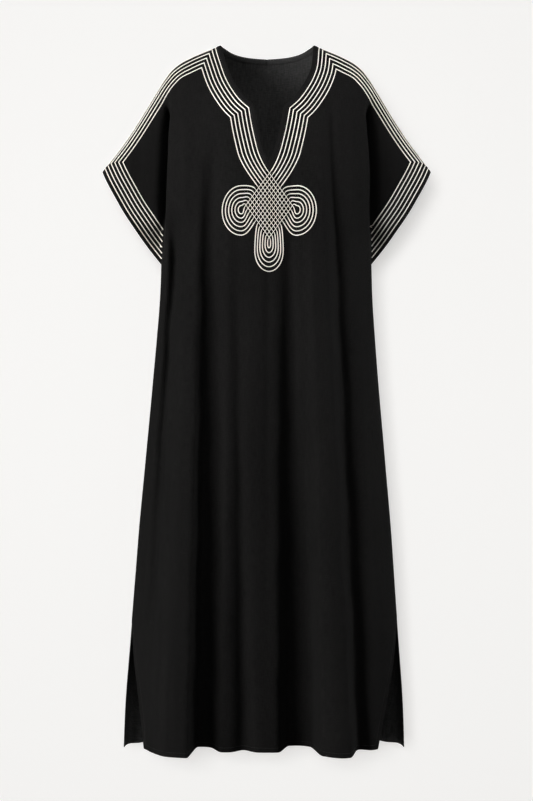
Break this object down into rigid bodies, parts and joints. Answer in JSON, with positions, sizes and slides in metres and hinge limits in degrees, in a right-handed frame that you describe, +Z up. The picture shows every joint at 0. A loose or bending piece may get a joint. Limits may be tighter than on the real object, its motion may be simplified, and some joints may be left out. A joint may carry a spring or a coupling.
{
  "type": "kaftan",
  "caption": "Long loose kaftan of woven cloth with short wide sleeves, a notched V neck, side slits, and couched cord borders that end in a woven knot.",
  "frame": {"origin": "midway between the shoulders at the height of the neck points, on the plane of the shoulder seams", "axes": "+Z up, the front faces -Y, +X to the right of a viewer in front of it"},
  "size_m": [0.656, 0.3014, 1.4036],
  "materials": {
    "black_cloth": "matt woven",
    "black_binding": "matt woven",
    "cream_cord": "soft braid"
  },
  "bodies": {
    "root": {"back_panel": "black_cloth", "border_cord_1_back": "cream_cord", "border_cord_1_left": "cream_cord", "border_cord_1_right": "cream_cord", "border_cord_2_back": "cream_cord", "border_cord_2_left": "cream_cord", "border_cord_2_right": "cream_cord", "border_cord_3_back": "cream_cord", "border_cord_3_left": "cream_cord", "border_cord_3_right": "cream_cord", "border_cord_4_back": "cream_cord", "border_cord_4_left": "cream_cord", "border_cord_4_right": "cream_cord", "border_cord_5_back": "cream_cord", "border_cord_5_left": "cream_cord", "border_cord_5_right": "cream_cord", "cuff_cord_left": "cream_cord", "cuff_cord_left_back": "cream_cord", "cuff_cord_right": "cream_cord", "cuff_cord_right_back": "cream_cord", "front_panel": "black_cloth", "knot_centre": "cream_cord", "knot_foot_1": "cream_cord", "knot_foot_2": "cream_cord", "knot_foot_3": "cream_cord", "knot_foot_4": "cream_cord", "knot_foot_5": "cream_cord", "knot_foot_6": "cream_cord", "knot_left_1": "cream_cord", "knot_left_2": "cream_cord", "knot_left_3": "cream_cord", "knot_left_4": "cream_cord", "knot_left_5": "cream_cord", "knot_left_6": "cream_cord", "knot_right_1": "cream_cord", "knot_right_2": "cream_cord", "knot_right_3": "cream_cord", "knot_right_4": "cream_cord", "knot_right_5": "cream_cord", "knot_right_6": "cream_cord", "neck_binding": "black_binding", "neck_cord_1_back": "cream_cord", "neck_cord_1_left": "cream_cord", "neck_cord_1_right": "cream_cord"}
  },
  "joints": []
}
